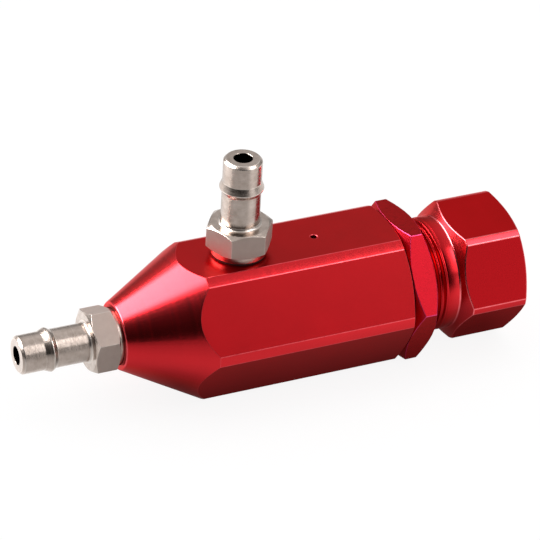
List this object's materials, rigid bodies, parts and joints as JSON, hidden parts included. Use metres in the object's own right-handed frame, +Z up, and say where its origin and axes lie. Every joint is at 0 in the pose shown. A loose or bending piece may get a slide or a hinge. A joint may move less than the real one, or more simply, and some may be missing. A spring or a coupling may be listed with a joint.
{
  "type": "manual boost controller",
  "caption": "Hexagonal inline pressure controller with a coned nose, two barbed hose fittings, a ball and spring inside, and a threaded knob with a lock nut.",
  "frame": {"origin": "on the body's bottom flat, straight below the outlet barb's axis", "axes": "+X along the main axis from the inlet barb towards the knob, +Z up along the outlet barb, so that the part lies on its bottom flat"},
  "size_m": [0.0815, 0.0254, 0.0389],
  "materials": {
    "red_anodised": "red anodised, satin on the flats and finely turned on the cone",
    "nickel_plate": "brass with a warm nickel plate, slightly grained",
    "seal_rubber": "matt black",
    "ball_steel": "polished bearing steel",
    "spring_steel": "drawn spring wire"
  },
  "bodies": {
    "housing": {"body": "red_anodised", "inlet_fitting": "nickel_plate", "outlet_fitting": "nickel_plate", "inlet_seal": "seal_rubber", "outlet_seal": "seal_rubber"},
    "ball": {"valve_ball": "ball_steel"},
    "spring_end": {"valve_spring": "spring_steel"},
    "adjuster": {"adjuster": "red_anodised"},
    "lock_nut": {"lock_nut": "red_anodised"}
  },
  "joints": [
    {"name": "ball_lift", "type": "slide", "parent": "housing", "child": "ball", "axis": [1, 0, 0], "range_m": [0, 0.0015], "stiffness_N_per_m": 400, "springref_m": -0.003},
    {"name": "adjuster_travel", "type": "slide", "parent": "housing", "child": "spring_end", "axis": [1, 0, 0], "range_m": [-0.0025, 0.005], "deforming": ["valve_spring"]},
    {"name": "adjuster_turn", "type": "hinge", "parent": "spring_end", "child": "adjuster", "pos_m": [0.0309, 0, 0.011], "axis": [1, 0, 0], "range_deg": [-900, 1800]},
    {"name": "lock_nut_turn", "type": "hinge", "parent": "housing", "child": "lock_nut", "pos_m": [0.0275, 0, 0.011], "axis": [1, 0, 0], "range_deg": [0, 90]}
  ],
  "couplings": [
    {"joint": "adjuster_turn", "follows": "adjuster_travel", "rad_per_m": 6283.2}
  ]
}
